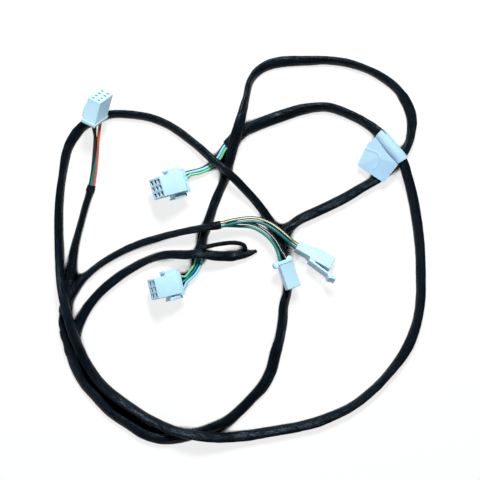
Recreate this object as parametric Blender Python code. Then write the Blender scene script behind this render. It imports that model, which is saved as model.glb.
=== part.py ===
# Wiring harness: black sleeved branches, taped junctions, five plug housings with their leads,
# a printed label and a paper flag. Metres, +Z up, lying on the plane z = 0.

import math

import bmesh
import bpy
from mathutils import Matrix, Vector

CLEARANCE = 0.0003
CUT_MARGIN = 0.0030
CURVE_STEPS = 24
HARNESS_MIDDLE = (-0.0001, -0.0002, 0.0)

# Sleeve radii
LOOP_R = 0.0032
UPPER_RIGHT_R = 0.0035
TOP_LOOP_R = 0.0032
TRUNK_R = 0.0035
EIGHT_WAY_BRANCH_R = 0.0028
TWO_WAY_BRANCH_R = 0.0025
LOOSE_BRANCH_R = 0.0030

# Tape over junctions and branch ends
TAPE_THICKNESS = 0.0003
NINE_WAY_END_R = 0.0031
SIX_WAY_END_R = 0.0031
EIGHT_WAY_END_R = 0.0026
TWO_WAY_END_R = 0.0028
LOOSE_TIP_R = 0.0009
LEFT_JUNCTION_R = 0.0042
LOOSE_JUNCTION_R = 0.0043
CENTRE_JUNCTION_R = 0.0044
THICK_SLEEVE = 0.0031
SLEEVE_STEP = 2.0
UPPER_RIGHT_LENGTH = 0.1185
LEAD_STEP = 2.0
TAPE_RINGS = 6
TAPE_SIDES = 12

# Leads
THIN_LEAD_R = 0.00085
LEAD_R = 0.0011
FOLDED_LEAD_R = 0.0012
LEAD_APPROACH = 0.0025
LEAD_STRAIGHT = 0.0020

# Plug housings
PITCH = 0.0045
SIDE_WALL = 0.00295
CELL = 0.0033
CORNER_BEVEL = 0.0004
LONG_PLUG = 0.0215
EIGHT_WAY_PLUG = 0.0205
TWO_WAY_PLUG = 0.0210
FLANGE_LENGTH = 0.0024
FLANGE_RISE = 0.0012
THIN_FLANGE_RISE = 0.0005
FLANGE_STEP = 0.0005
LEVER_LENGTH = 0.0118
LEVER_RISE = 0.0034
LEVER_WIDTH = 0.0070
LEVER_THICKNESS = 0.0011
LEVER_ROOT = 0.0100
LEVER_SEAT = 0.0005
WIDE_WINDOW = 0.0028
NARROW_WINDOW = 0.0021
FRONT_WALL = 0.0012

# Crimp terminals
TERMINAL = 0.0024
TERMINAL_LENGTH = 0.0095
TERMINAL_SETBACK = 0.0040
TERMINAL_HOLE = 0.0012
TERMINAL_HOLE_DEPTH = 0.0050

# Round ears at the rear corners of the two-way plug, from the corners across and along
EAR_R = 0.0023
EAR_HEIGHT = 0.0044
EARS = ((1, 0.0014, 0.0018), (-1, -0.0012, 0.0004))

# Two-way socket housing with a latch arm
SOCKET_WIDTH = 0.0108
SOCKET_HEIGHT = 0.0076
SOCKET_LENGTH = 0.0285
SOCKET_REAR_WIDTH = 0.0075
SOCKET_REAR_HEIGHT = 0.0056
SOCKET_REAR_LENGTH = 0.0120
SOCKET_WALL = 0.0011
SOCKET_DEPTH = 0.0125
SOCKET_PITCH = 0.0036
SOCKET_CELL = 0.0026
SOCKET_TERMINAL = 0.0020
PIN = 0.0010
PIN_LENGTH = 0.0080
LATCH_WIDTH = 0.0058
LATCH_THICKNESS = 0.0013
LATCH_LENGTH = 0.0230
LATCH_ROOT = 0.0045
LATCH_GAP = 0.0003
LATCH_SLOPE = math.tan(math.radians(8.5))
HOOK_LENGTH = 0.0040
HOOK_RISE = 0.0018
HOOK_SETBACK = 0.0028

# Label and flag
LABEL_THICKNESS = 0.0003
LABEL_LENGTH = 0.0260
LABEL_SIDES = 16
FLAG_THICKNESS = 0.0005
FLAG_OUTLINE = [
    (0.0963, 0.0798, 0.0074), (0.0912, 0.0757, 0.0070), (0.0839, 0.0604, 0.0060), (0.1027, 0.0481, 0.0078),
    (0.1120, 0.0604, 0.0100),
]
FLAG_MIDDLE = (0.0975, 0.0655, 0.0082)

# Colour, roughness and metallic value of each material
FINISHES = {
    "sleeve": ((0.010, 0.014, 0.020), 0.38, 0.0),
    "tape": ((0.014, 0.018, 0.024), 0.45, 0.0),
    "nylon": ((0.74, 0.80, 0.81), 0.45, 0.0),
    "paper": ((0.80, 0.82, 0.82), 0.70, 0.0),
    "tin": ((0.70, 0.66, 0.58), 0.35, 1.0),
    "black": ((0.012, 0.013, 0.016), 0.45, 0.0),
    "orange": ((0.80, 0.16, 0.06), 0.45, 0.0),
    "teal": ((0.02, 0.33, 0.30), 0.45, 0.0),
    "light_green": ((0.30, 0.62, 0.28), 0.45, 0.0),
    "light_blue": ((0.30, 0.62, 0.85), 0.45, 0.0),
    "dark_green": ((0.01, 0.08, 0.06), 0.45, 0.0),
    "brown": ((0.05, 0.035, 0.03), 0.45, 0.0),
}

# Centre lines of the sleeves, read off the photograph
OUTER_LOOP = [
    (0.0252, 0.0150, 0.0036), (0.0196, 0.0237, 0.0036), (0.0074, 0.0390, 0.0070), (-0.0091, 0.0556, 0.0114),
    (-0.0200, 0.0648, 0.0092), (-0.0325, 0.0760, 0.0048), (-0.0440, 0.0848, 0.0034), (-0.0533, 0.0905, 0.0032),
    (-0.0634, 0.0945, 0.0032), (-0.0792, 0.0971, 0.0032), (-0.0936, 0.0972, 0.0032), (-0.1050, 0.0932, 0.0032),
    (-0.1128, 0.0890, 0.0032), (-0.1176, 0.0837, 0.0032), (-0.1216, 0.0774, 0.0032), (-0.1246, 0.0699, 0.0032),
    (-0.1277, 0.0520, 0.0032), (-0.1298, 0.0346, 0.0032), (-0.1302, 0.0180, 0.0032), (-0.1299, 0.0014, 0.0036),
    (-0.1288, -0.0170, 0.0066), (-0.1262, -0.0330, 0.0120), (-0.1222, -0.0490, 0.0128), (-0.1186, -0.0610, 0.0120),
    (-0.1140, -0.0725, 0.0084), (-0.1083, -0.0847, 0.0044), (-0.0974, -0.0990, 0.0032), (-0.0780, -0.1137, 0.0036),
    (-0.0620, -0.1230, 0.0060), (-0.0471, -0.1290, 0.0098), (-0.0330, -0.1324, 0.0109), (-0.0180, -0.1342, 0.0080),
    (0.0000, -0.1340, 0.0040), (0.0250, -0.1302, 0.0032), (0.0542, -0.1241, 0.0032), (0.0810, -0.1121, 0.0032),
    (0.1049, -0.0913, 0.0032), (0.1218, -0.0671, 0.0032), (0.1285, -0.0450, 0.0032), (0.1300, -0.0180, 0.0032),
    (0.1285, 0.0099, 0.0032), (0.1243, 0.0359, 0.0040), (0.1190, 0.0545, 0.0096), (0.1158, 0.0634, 0.0119),
    (0.1078, 0.0735, 0.0102),
]
UPPER_RIGHT = [
    (0.0997, 0.0834, 0.0064), (0.0874, 0.0928, 0.0037), (0.0718, 0.0998, 0.0035), (0.0634, 0.1023, 0.0035),
    (0.0547, 0.1023, 0.0035), (0.0434, 0.1004, 0.0035), (0.0290, 0.0959, 0.0035), (0.0144, 0.0906, 0.0035),
    (0.0030, 0.0850, 0.0035),
]
TOP_LOOP = [
    (0.0354, 0.0162, 0.0036), (0.0429, 0.0218, 0.0034), (0.0538, 0.0268, 0.0032), (0.0672, 0.0331, 0.0032),
    (0.0791, 0.0394, 0.0032), (0.0872, 0.0445, 0.0032), (0.0988, 0.0509, 0.0032), (0.1085, 0.0585, 0.0032),
    (0.1160, 0.0668, 0.0032), (0.1206, 0.0750, 0.0032), (0.1231, 0.0840, 0.0032), (0.1236, 0.0920, 0.0032),
    (0.1222, 0.0995, 0.0032), (0.1188, 0.1072, 0.0032), (0.1130, 0.1155, 0.0032), (0.1030, 0.1234, 0.0032),
    (0.0893, 0.1303, 0.0032), (0.0756, 0.1345, 0.0032), (0.0617, 0.1361, 0.0032), (0.0470, 0.1358, 0.0032),
    (0.0341, 0.1354, 0.0032), (0.0227, 0.1336, 0.0032), (0.0135, 0.1289, 0.0032), (0.0074, 0.1215, 0.0036),
    (0.0048, 0.1110, 0.0054), (0.0022, 0.1000, 0.0092), (-0.0008, 0.0890, 0.0114), (-0.0032, 0.0800, 0.0110),
    (-0.0060, 0.0690, 0.0068), (-0.0088, 0.0575, 0.0034), (-0.0125, 0.0470, 0.0032), (-0.0178, 0.0345, 0.0032),
    (-0.0224, 0.0220, 0.0032), (-0.0256, 0.0110, 0.0032), (-0.0280, 0.0030, 0.0032),
]
TRUNK = [
    (0.0300, -0.0015, 0.0039), (0.0322, -0.0090, 0.0035), (0.0340, -0.0190, 0.0035), (0.0342, -0.0300, 0.0035),
    (0.0314, -0.0399, 0.0035), (0.0306, -0.0505, 0.0035), (0.0290, -0.0615, 0.0035), (0.0254, -0.0745, 0.0035),
    (0.0221, -0.0872, 0.0035), (0.0158, -0.0990, 0.0035), (0.0078, -0.1076, 0.0035), (-0.0003, -0.1158, 0.0035),
    (-0.0095, -0.1236, 0.0035), (-0.0208, -0.1282, 0.0035), (-0.0317, -0.1322, 0.0035), (-0.0430, -0.1352, 0.0035),
    (-0.0560, -0.1360, 0.0035), (-0.0685, -0.1328, 0.0035), (-0.0806, -0.1253, 0.0035), (-0.0930, -0.1170, 0.0035),
    (-0.1033, -0.1060, 0.0035), (-0.1120, -0.0965, 0.0035), (-0.1180, -0.0850, 0.0035), (-0.1210, -0.0755, 0.0039),
]
TRUNK_UPPER = [(-0.1262, -0.0460, 0.0039), (-0.1264, -0.0515, 0.0038), (-0.1257, -0.0575, 0.0039)]
EIGHT_WAY_BRANCH = [
    (-0.1219, -0.0215, 0.0033), (-0.1211, -0.0140, 0.0030), (-0.1200, -0.0061, 0.0029), (-0.1182, 0.0048, 0.0029),
    (-0.1148, 0.0179, 0.0029), (-0.1112, 0.0310, 0.0029), (-0.1078, 0.0420, 0.0029),
]
TWO_WAY_BRANCH = [
    (-0.1122, -0.0200, 0.0032), (-0.1041, -0.0129, 0.0027), (-0.0903, -0.0041, 0.0026), (-0.0731, 0.0040, 0.0032),
    (-0.0560, 0.0092, 0.0050), (-0.0395, 0.0131, 0.0082), (-0.0240, 0.0160, 0.0099), (-0.0200, 0.0167, 0.0099),
]
LOOSE_BRANCH = [
    (-0.1168, -0.0572, 0.0034), (-0.1117, -0.0448, 0.0031), (-0.1024, -0.0324, 0.0031), (-0.0905, -0.0217, 0.0031),
    (-0.0771, -0.0131, 0.0031), (-0.0646, -0.0068, 0.0034), (-0.0518, -0.0035, 0.0050), (-0.0389, -0.0036, 0.0086),
    (-0.0290, -0.0028, 0.0103), (-0.0170, -0.0042, 0.0080), (-0.0060, -0.0046, 0.0042), (-0.0005, -0.0040, 0.0034),
]
FOLDED_LEAD = [
    (0.0040, -0.0002, 0.0032), (0.0030, 0.0030, 0.0038), (0.0000, 0.0045, 0.0044), (-0.0045, 0.0050, 0.0056),
    (-0.0101, 0.0047, 0.0076), (-0.0158, 0.0039, 0.0100), (-0.0216, 0.0027, 0.0126), (-0.0262, 0.0016, 0.0140),
]
NINE_WAY_END = (-0.0098, 0.0750, 0.0033)
SIX_WAY_END = (-0.0292, -0.0045, 0.0032)
EIGHT_WAY_END = (-0.1067, 0.0462, 0.0029)
TWO_WAY_END = (-0.0138, 0.0179, 0.0095)
LOOSE_TIP = (0.0120, -0.0008, 0.0020)
LEFT_JUNCTION = (-0.1245, -0.0380, 0.0043)
LOOSE_JUNCTION = (-0.1228, -0.0668, 0.0044)
CENTRE_JUNCTION = (0.0290, 0.0080, 0.0045)

# Centre lines of the groups of leads, between the taped ends and the housings
EIGHT_WAY_LEADS = [(-0.1048, 0.0560, 0.0046), (-0.1034, 0.0680, 0.0070), (-0.1026, 0.0785, 0.0096)]
NINE_WAY_LEADS = [
    (-0.0160, 0.0655, 0.0026), (-0.0235, 0.0588, 0.0026), (-0.0303, 0.0562, 0.0030), (-0.0373, 0.0545, 0.0044),
]
SIX_WAY_LEADS = [
    (-0.0305, -0.0110, 0.0036), (-0.0345, -0.0170, 0.0038), (-0.0395, -0.0216, 0.0044),
]
SOCKET_LEADS = [
    (-0.0020, 0.0205, 0.0104), (0.0100, 0.0215, 0.0100), (0.0200, 0.0185, 0.0098), (0.0285, 0.0128, 0.0104),
    (0.0345, 0.0076, 0.0092),
]
TWO_WAY_LEADS = [
    (-0.0020, 0.0182, 0.0090), (0.0090, 0.0172, 0.0094), (0.0185, 0.0120, 0.0108), (0.0250, 0.0050, 0.0120),
    (0.0282, -0.0008, 0.0124),
]

# Each housing: where its middle is, its heading, tilt and roll, and how many cells it has across and up
PLUGS = {
    "eight_way": {
        "place": (-0.1007, 0.1004, 0.0224),
        "turn": (-18.5, 32.0, -14.5),
        "cells": (2, 4),
        "length": EIGHT_WAY_PLUG,
        "window": NARROW_WINDOW,
        "flange": THIN_FLANGE_RISE,
        "levers": (-1,),
        "ears": False,
    },
    "nine_way": {
        "place": (-0.0505, 0.0460, 0.0144),
        "turn": (106.6, 36.4, 0.0),
        "cells": (3, 3),
        "length": LONG_PLUG,
        "window": WIDE_WINDOW,
        "flange": FLANGE_RISE,
        "levers": (-1, 1),
        "ears": False,
    },
    "six_way": {
        "place": (-0.0532, -0.0261, 0.0122),
        "turn": (103.1, 35.7, 0.0),
        "cells": (3, 2),
        "length": LONG_PLUG,
        "window": WIDE_WINDOW,
        "flange": FLANGE_RISE,
        "levers": (-1, 1),
        "ears": False,
    },
    "two_way": {
        "place": (0.0345, -0.0173, 0.0116),
        "turn": (-160.3, 0.0, -20.0),
        "cells": (2, 1),
        "length": TWO_WAY_PLUG,
        "window": NARROW_WINDOW,
        "flange": THIN_FLANGE_RISE,
        "levers": (),
        "ears": True,
    },
}
SOCKET = {
    "place": (0.0531, -0.0045, 0.0068),
    "turn": (-119.9, 0.0, -34.0),
    "cells": (2, 1),
    "pitch": SOCKET_PITCH,
    "length": SOCKET_LENGTH,
    "pins": True,
}

# Each group's leads: colour, cell across and up, and its place in the taped end, in lead radii
EIGHT_WAY_GROUP = [
    ("black", (0, 0), (-1.12, -0.65)),
    ("orange", (1, 0), (1.12, -0.65)),
    ("teal", (0, 1), (0.0, 1.3)),
]
NINE_WAY_GROUP = [
    ("black", (2, 0), (1.65, -1.05)),
    ("light_blue", (2, 1), (0.55, 1.05)),
    ("dark_green", (1, 0), (-0.65, -1.05)),
    ("light_green", (1, 1), (-1.75, 1.05)),
]
SIX_WAY_GROUP = [
    ("light_green", (2, 1), (2.6, 1.3)),
    ("dark_green", (2, 0), (2.6, -1.3)),
    ("teal", (1, 1), (0.0, 1.3)),
    ("black", (1, 0), (0.0, -1.3)),
    ("light_blue", (0, 1), (-2.6, 1.3)),
    ("brown", (0, 0), (-2.6, -1.3)),
]
TWO_WAY_GROUP = [("black", (0, 0), (-1.2, -1.2)), ("teal", (1, 0), (1.2, -1.2))]
SOCKET_GROUP = [("black", (0, 0), (-1.2, 1.2)), ("teal", (1, 0), (1.2, 1.2))]


def clear_scene():
    for obj in list(bpy.data.objects):
        bpy.data.objects.remove(obj)


def finish(obj, key):
    """Gives the object its own material in one of the finishes."""
    material = bpy.data.materials.new(obj.name)
    material.use_nodes = True
    shader = material.node_tree.nodes["Principled BSDF"]
    colour, roughness, metallic = FINISHES[key]
    shader.inputs["Base Color"].default_value = (*colour, 1.0)
    shader.inputs["Roughness"].default_value = roughness
    shader.inputs["Metallic"].default_value = metallic
    obj.data.materials.append(material)


def link(name, data):
    carrier = bpy.data.objects.get("harness")
    obj = bpy.data.objects.new(name, data)
    bpy.context.scene.collection.objects.link(obj)
    obj.parent = carrier
    return obj


def between_knots(points, knots, t):
    """The point at t of the smooth curve through four points, with knots spaced by their distances."""

    def mix(a, b, low, high):
        return a + (b - a) * ((t - low) / (high - low))

    first = [mix(points[i], points[i + 1], knots[i], knots[i + 1]) for i in range(3)]
    second = [mix(first[i], first[i + 1], knots[i], knots[i + 2]) for i in range(2)]
    return mix(second[0], second[1], knots[1], knots[2])


def smooth(route, spacing):
    """Evenly spaced points on a smooth curve through the route's own points."""
    points = [Vector(p) for p in route]
    points = [2 * points[0] - points[1], *points, 2 * points[-1] - points[-2]]
    fine = []
    for i in range(len(points) - 3):
        four = points[i : i + 4]
        knots = [0.0]
        for a, b in zip(four, four[1:]):
            knots.append(knots[-1] + math.sqrt((b - a).length))
        for step in range(CURVE_STEPS):
            t = knots[1] + (knots[2] - knots[1]) * step / CURVE_STEPS
            fine.append(between_knots(four, knots, t))
    fine.append(points[-2])
    whole = length_of(fine)
    count = max(2, round(whole / spacing))
    return [fine[0], *(along(fine, whole * k / count) for k in range(1, count)), fine[-1]]


def length_of(points):
    return sum((b - a).length for a, b in zip(points, points[1:]))


def along(points, distance):
    """The point at a distance along a line of points."""
    for a, b in zip(points, points[1:]):
        step = (b - a).length
        if distance <= step:
            return a.lerp(b, distance / step)
        distance -= step
    return points[-1]


def stretch(points, start, end):
    """The part of a line of points between two distances along it."""
    inner, at = [], 0.0
    for a, b in zip(points, points[1:]):
        at += (b - a).length
        if start < at < end:
            inner.append(b)
    return [along(points, start), *inner, along(points, end)]


def beyond(points, distance):
    """The point that lies a distance past the line's end, and the direction there."""
    direction = (points[-1] - points[-2]).normalized()
    return points[-1] + direction * distance, direction


def cord(name, points, radius, key, sides=2, radii=None):
    """A round cord along the points, with its origin at the first of them."""
    curve = bpy.data.curves.new(name, "CURVE")
    curve.dimensions = "3D"
    curve.bevel_depth = radius
    curve.bevel_resolution = sides
    curve.use_fill_caps = True
    line = curve.splines.new("POLY")
    line.points.add(len(points) - 1)
    for k, point in enumerate(points):
        line.points[k].co = (*(point - points[0]), 1.0)
        line.points[k].radius = radii[k] / radius if radii else 1.0
    line.use_smooth = True
    obj = link(name, curve)
    obj.location = points[0]
    finish(obj, key)
    return obj


def solid(name, shells, key=None):
    """A mesh of closed shells, each given as the rings of points that it runs through."""
    bm = bmesh.new()
    for rings in shells:
        rows = [[bm.verts.new(p) for p in ring] for ring in rings]
        for lower, upper in zip(rows, rows[1:]):
            for k in range(len(lower)):
                bm.faces.new((lower[k - 1], lower[k], upper[k], upper[k - 1]))
        bm.faces.new(rows[0])
        bm.faces.new(rows[-1])
    bmesh.ops.recalc_face_normals(bm, faces=bm.faces)
    mesh = bpy.data.meshes.new(name)
    bm.to_mesh(mesh)
    bm.free()
    obj = link(name, mesh)
    if key:
        finish(obj, key)
    return obj


def helper(obj, owner=None):
    """Marks an object that only shapes another, and ties it to that one."""
    obj.hide_render = True
    obj.display_type = "WIRE"
    obj.parent = owner
    return obj


def combine(obj, other, operation):
    modifier = obj.modifiers.new(other.name, "BOOLEAN")
    modifier.operation = operation
    modifier.object = helper(other, obj)


def square(width, height, y):
    """A ring round the Y axis, at y."""
    return [(x * width / 2, y, z * height / 2) for x, z in ((-1, -1), (1, -1), (1, 1), (-1, 1))]


def shifted(rings, x, z):
    return [[(p[0] + x, p[1], p[2] + z) for p in ring] for ring in rings]


def block(width, height, back, front):
    """A box along Y with its long edges and its ends chamfered."""

    def ring(inset, y):
        half, tall, cut = width / 2 - inset, height / 2 - inset, CORNER_BEVEL
        outline = [(half - cut, -tall), (half, cut - tall), (half, tall - cut), (half - cut, tall)]
        outline += [(-x, -z) for x, z in outline]
        return [(x, y, z) for x, z in outline]

    cut = CORNER_BEVEL
    return [ring(cut, back), ring(0, back + cut), ring(0, front - cut), ring(cut, front)]


def extruded(outline, height, z=0.0):
    """An outline in X and Y, made into a plate of the height around z."""
    return [[(x, y, z + side * height / 2) for x, y in outline] for side in (-1, 1)]


def cell_place(spec, cell):
    """Where one cell lies in its housing, in X and Z."""
    pitch = spec.get("pitch", PITCH)
    return tuple((k - (count - 1) / 2) * pitch for k, count in zip(cell, spec["cells"]))


def frame_of(spec):
    """The matrix that takes a housing's own coordinates to where it lies."""
    heading, tilt, roll = (math.radians(angle) for angle in spec["turn"])
    turn = Matrix.Rotation(heading, 4, "Z") @ Matrix.Rotation(tilt, 4, "X") @ Matrix.Rotation(roll, 4, "Y")
    return Matrix.Translation(spec["place"]) @ turn


def place(obj, spec):
    frame = frame_of(spec)
    obj.location = frame.translation
    obj.rotation_euler = frame.to_euler()


def plug(name, spec):
    """A plug housing: stepped cells right through it and a flange round its rear."""
    across, up = spec["cells"]
    width = (across - 1) * PITCH + 2 * SIDE_WALL
    height = (up - 1) * PITCH + 2 * SIDE_WALL
    back, front = -spec["length"] / 2, spec["length"] / 2
    body = solid(name, [block(width, height, back + FLANGE_STEP, front)], "nylon")
    rise = spec["flange"]
    flange = [square(width + 2 * rise, height + 2 * rise, y) for y in (back, back + FLANGE_LENGTH)]
    combine(body, solid(name + "_flange", [flange]), "UNION")
    for side in spec["levers"]:
        lever = solid(f"{name}_lever_{side}", [lever_outline(side, width / 2, back)])
        combine(body, lever, "UNION")
    if spec["ears"]:
        for side, across_by, along_by in EARS:
            ear = round_ear(side * (width / 2 + across_by), back + along_by)
            combine(body, solid(f"{name}_ear_{side}", [ear]), "UNION")
    cutter = [
        square(CELL, CELL, back - CUT_MARGIN),
        square(CELL, CELL, front - FRONT_WALL),
        square(spec["window"], spec["window"], front - FRONT_WALL),
        square(spec["window"], spec["window"], front + CUT_MARGIN),
    ]
    places = [cell_place(spec, (i, j)) for i in range(across) for j in range(up)]
    combine(body, solid(name + "_cells", [shifted(cutter, *spot) for spot in places]), "DIFFERENCE")
    place(body, spec)
    return body


def lever_outline(side, wall, back):
    """A lever that stands off the wall: its root by the flange and its free end pointing forward."""
    root, tip = back + LEVER_SEAT, back + LEVER_LENGTH
    outer, inner = wall + LEVER_RISE, wall + LEVER_RISE - LEVER_THICKNESS
    outline = [
        (wall - LEVER_SEAT, root), (outer, root), (outer, tip - LEVER_THICKNESS), (inner, tip),
        (inner, root + LEVER_ROOT), (wall - LEVER_SEAT, root + LEVER_ROOT),
    ]
    return extruded([(side * x, y) for x, y in outline], LEVER_WIDTH)


def round_ear(x, y):
    turns = [math.tau * k / TAPE_SIDES for k in range(TAPE_SIDES)]
    return extruded([(x + EAR_R * math.cos(turn), y + EAR_R * math.sin(turn)) for turn in turns], EAR_HEIGHT)


def latch_outline(wall, start):
    """The latch arm: a root on the wall, an arm that leans away from it and a hook near its end."""
    inner, outer = wall + LATCH_GAP, wall + LATCH_GAP + LATCH_THICKNESS
    hook = LATCH_LENGTH - HOOK_SETBACK
    hook_start, hook_top = hook - HOOK_LENGTH, outer + HOOK_RISE + LATCH_SLOPE * hook
    lean = LATCH_SLOPE * LATCH_LENGTH
    outline = [
        (wall - LEVER_SEAT, 0), (outer, 0), (outer + LATCH_SLOPE * hook_start, hook_start),
        (hook_top, hook - HOOK_LENGTH / 2), (hook_top - HOOK_RISE / 2, hook),
        (outer + lean, LATCH_LENGTH), (inner + lean, LATCH_LENGTH),
        (inner + LATCH_SLOPE * LATCH_ROOT, LATCH_ROOT), (wall - LEVER_SEAT, LATCH_ROOT),
    ]
    return extruded([(x, start + y) for x, y in outline], LATCH_WIDTH)


def socket(name, spec):
    """A socket housing: a narrow rear with two cells, a hollow shroud and a latch arm on its side."""
    back, front = -SOCKET_LENGTH / 2, SOCKET_LENGTH / 2
    step = back + SOCKET_REAR_LENGTH
    body = solid(name, [block(SOCKET_WIDTH, SOCKET_HEIGHT, step, front)], "nylon")
    rear = block(SOCKET_REAR_WIDTH, SOCKET_REAR_HEIGHT, back, step + SOCKET_WALL)
    combine(body, solid(name + "_rear", [rear]), "UNION")
    combine(body, solid(name + "_latch", [latch_outline(SOCKET_WIDTH / 2, step + LEVER_SEAT)]), "UNION")
    hollow = [
        square(SOCKET_WIDTH - 2 * SOCKET_WALL, SOCKET_HEIGHT - 2 * SOCKET_WALL, y)
        for y in (front - SOCKET_DEPTH, front + CUT_MARGIN)
    ]
    combine(body, solid(name + "_hollow", [hollow]), "DIFFERENCE")
    ends = (back - CUT_MARGIN, front - SOCKET_DEPTH + CUT_MARGIN)
    channel = [square(SOCKET_CELL, SOCKET_CELL, y) for y in ends]
    places = [cell_place(spec, (i, 0)) for i in range(2)]
    combine(body, solid(name + "_cells", [shifted(channel, *spot) for spot in places]), "DIFFERENCE")
    place(body, spec)
    return body


def terminal(name, spec, cell):
    """A crimp terminal in its cell: a box with a hole in front, or in the socket one with a pin."""
    rear = -spec["length"] / 2 + TERMINAL_SETBACK
    if spec.get("pins"):
        shoulder = spec["length"] / 2 - SOCKET_DEPTH - SOCKET_WALL
        rings = [
            square(SOCKET_TERMINAL, SOCKET_TERMINAL, rear), square(SOCKET_TERMINAL, SOCKET_TERMINAL, shoulder),
            square(PIN, PIN, shoulder), square(PIN, PIN, shoulder + PIN_LENGTH),
        ]
    else:
        tip, hole = rear + TERMINAL_LENGTH, TERMINAL_HOLE
        rings = [
            square(TERMINAL, TERMINAL, rear), square(TERMINAL, TERMINAL, tip),
            square(hole, hole, tip), square(hole, hole, tip - TERMINAL_HOLE_DEPTH),
        ]
    obj = solid(name, [shifted(rings, *cell_place(spec, cell))], "tin")
    place(obj, spec)
    return obj


def leads(prefix, group, end_line, route, spec, radius):
    """A group of leads from a taped end to the terminals in a housing's cells."""
    start, ahead = beyond(end_line, CLEARANCE)
    frame = frame_of(spec)
    rear = -spec["length"] / 2
    guide = [start, start + ahead * LEAD_STRAIGHT, *(Vector(p) for p in route)]
    directions = [ahead, ahead, *(b - a for a, b in zip(guide[1:], guide[3:]))]
    directions.append(frame.to_3x3() @ Vector((0, 1, 0)))
    for colour, cell, (side, up) in group:
        name = f"{prefix}_{colour}_lead"
        x, z = cell_place(spec, cell)
        last = [
            frame @ Vector((x, y, z))
            for y in (rear - LEAD_APPROACH, rear + LEAD_STRAIGHT, rear + TERMINAL_SETBACK - CLEARANCE)
        ]
        first = [p + offset(d, side * radius, up * radius) for p, d in zip(guide, directions)]
        cord(name, smooth([*first, *last], LEAD_STEP * 2 * radius), radius, colour)
        terminal(f"{prefix}_{colour}_terminal", spec, cell)


def offset(direction, side, up):
    """A step to the side of a direction and up from it."""
    right = direction.cross(Vector((0, 0, 1))).normalized()
    return right * side + right.cross(direction).normalized() * up


def ring_round(centre, direction, radius, sides=None):
    count = sides or TAPE_SIDES
    turns = [math.tau * k / count for k in range(count)]
    return [centre + offset(direction, radius * math.cos(turn), radius * math.sin(turn)) for turn in turns]


def junction(name, hub, hub_r, arms):
    """A taped junction: a round hub with an arm that swells from it to each sleeve's end."""
    mesh = bpy.data.meshes.new(name)
    bm = bmesh.new()
    bmesh.ops.create_uvsphere(bm, u_segments=TAPE_SIDES, v_segments=TAPE_SIDES // 2, radius=hub_r)
    bm.to_mesh(mesh)
    bm.free()
    obj = link(name, mesh)
    obj.location = hub
    finish(obj, "tape")
    middle = Vector(hub)
    for number, (line, radius) in enumerate(arms):
        tip, outward = beyond(line, CLEARANCE)
        bend = tip + outward * radius
        inward = (bend - middle).normalized()
        stations = [(middle, inward), (bend, inward - outward), (tip, -outward)]
        rings = [[p - middle for p in ring_round(*s, radius + TAPE_THICKNESS)] for s in stations]
        combine(obj, solid(f"{name}_arm_{number}", [rings]), "UNION")
    for polygon in mesh.polygons:
        polygon.use_smooth = True
    return obj


def end_tape(name, line, tip, tip_r, radius):
    """The taped end of a branch, tapering from its sleeve to its leads; gives its centre line."""
    start, ahead = beyond(line, CLEARANCE)
    end = Vector(tip)
    bend = start + ahead * (end - start).length / 3
    points = smooth([start, bend, end], (end - start).length / TAPE_RINGS)
    share = [k / (len(points) - 1) for k in range(len(points))]
    radii = [radius + (tip_r - radius) * s for s in share]
    cord(name, points, radius, "tape", sides=3, radii=radii)
    return points


def label(name, line, middle_at, radius):
    """A printed label wrapped once round a stretch of sleeve, as a thin hollow ring."""
    points = stretch(line, middle_at - LABEL_LENGTH / 2, middle_at + LABEL_LENGTH / 2)
    rows = []
    for wall in (radius + CLEARANCE + LABEL_THICKNESS, radius + CLEARANCE):
        rings = []
        for k, point in enumerate(points):
            ahead = points[min(k + 1, len(points) - 1)] - points[max(k - 1, 0)]
            rings.append([p - points[0] for p in ring_round(point, ahead, wall, LABEL_SIDES)])
        rows += rings if not rows else rings[::-1]
    bm = bmesh.new()
    verts = [[bm.verts.new(p) for p in ring] for ring in rows]
    for k, ring in enumerate(verts):
        before = verts[k - 1]
        for j in range(len(ring)):
            bm.faces.new((before[j - 1], before[j], ring[j], ring[j - 1]))
    bmesh.ops.recalc_face_normals(bm, faces=bm.faces)
    mesh = bpy.data.meshes.new(name)
    bm.to_mesh(mesh)
    bm.free()
    obj = link(name, mesh)
    obj.location = points[0]
    finish(obj, "paper")
    return obj


def flag(name):
    """A blank paper flag, a thin creased sheet with a straight edge beside the label."""
    corners = [Vector(p) for p in FLAG_OUTLINE]
    centre = Vector(FLAG_MIDDLE)
    bm = bmesh.new()
    sheets = []
    for side in (-1, 1):
        lift = Vector((0, 0, side * FLAG_THICKNESS / 2))
        hub = bm.verts.new(centre + lift - corners[0])
        rim = [bm.verts.new(p + lift - corners[0]) for p in corners]
        for k in range(len(rim)):
            bm.faces.new((hub, rim[k - 1], rim[k]))
        sheets.append(rim)
    for k in range(len(corners)):
        bm.faces.new((sheets[0][k - 1], sheets[0][k], sheets[1][k], sheets[1][k - 1]))
    bmesh.ops.recalc_face_normals(bm, faces=bm.faces)
    mesh = bpy.data.meshes.new(name)
    bm.to_mesh(mesh)
    bm.free()
    obj = link(name, mesh)
    obj.location = corners[0]
    finish(obj, "paper")
    return obj


def sleeve(name, route, radius):
    points = smooth(route, SLEEVE_STEP * 2 * radius)
    cord(name, points, radius, "sleeve", sides=3 if radius > THICK_SLEEVE else 2)
    return points


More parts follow.
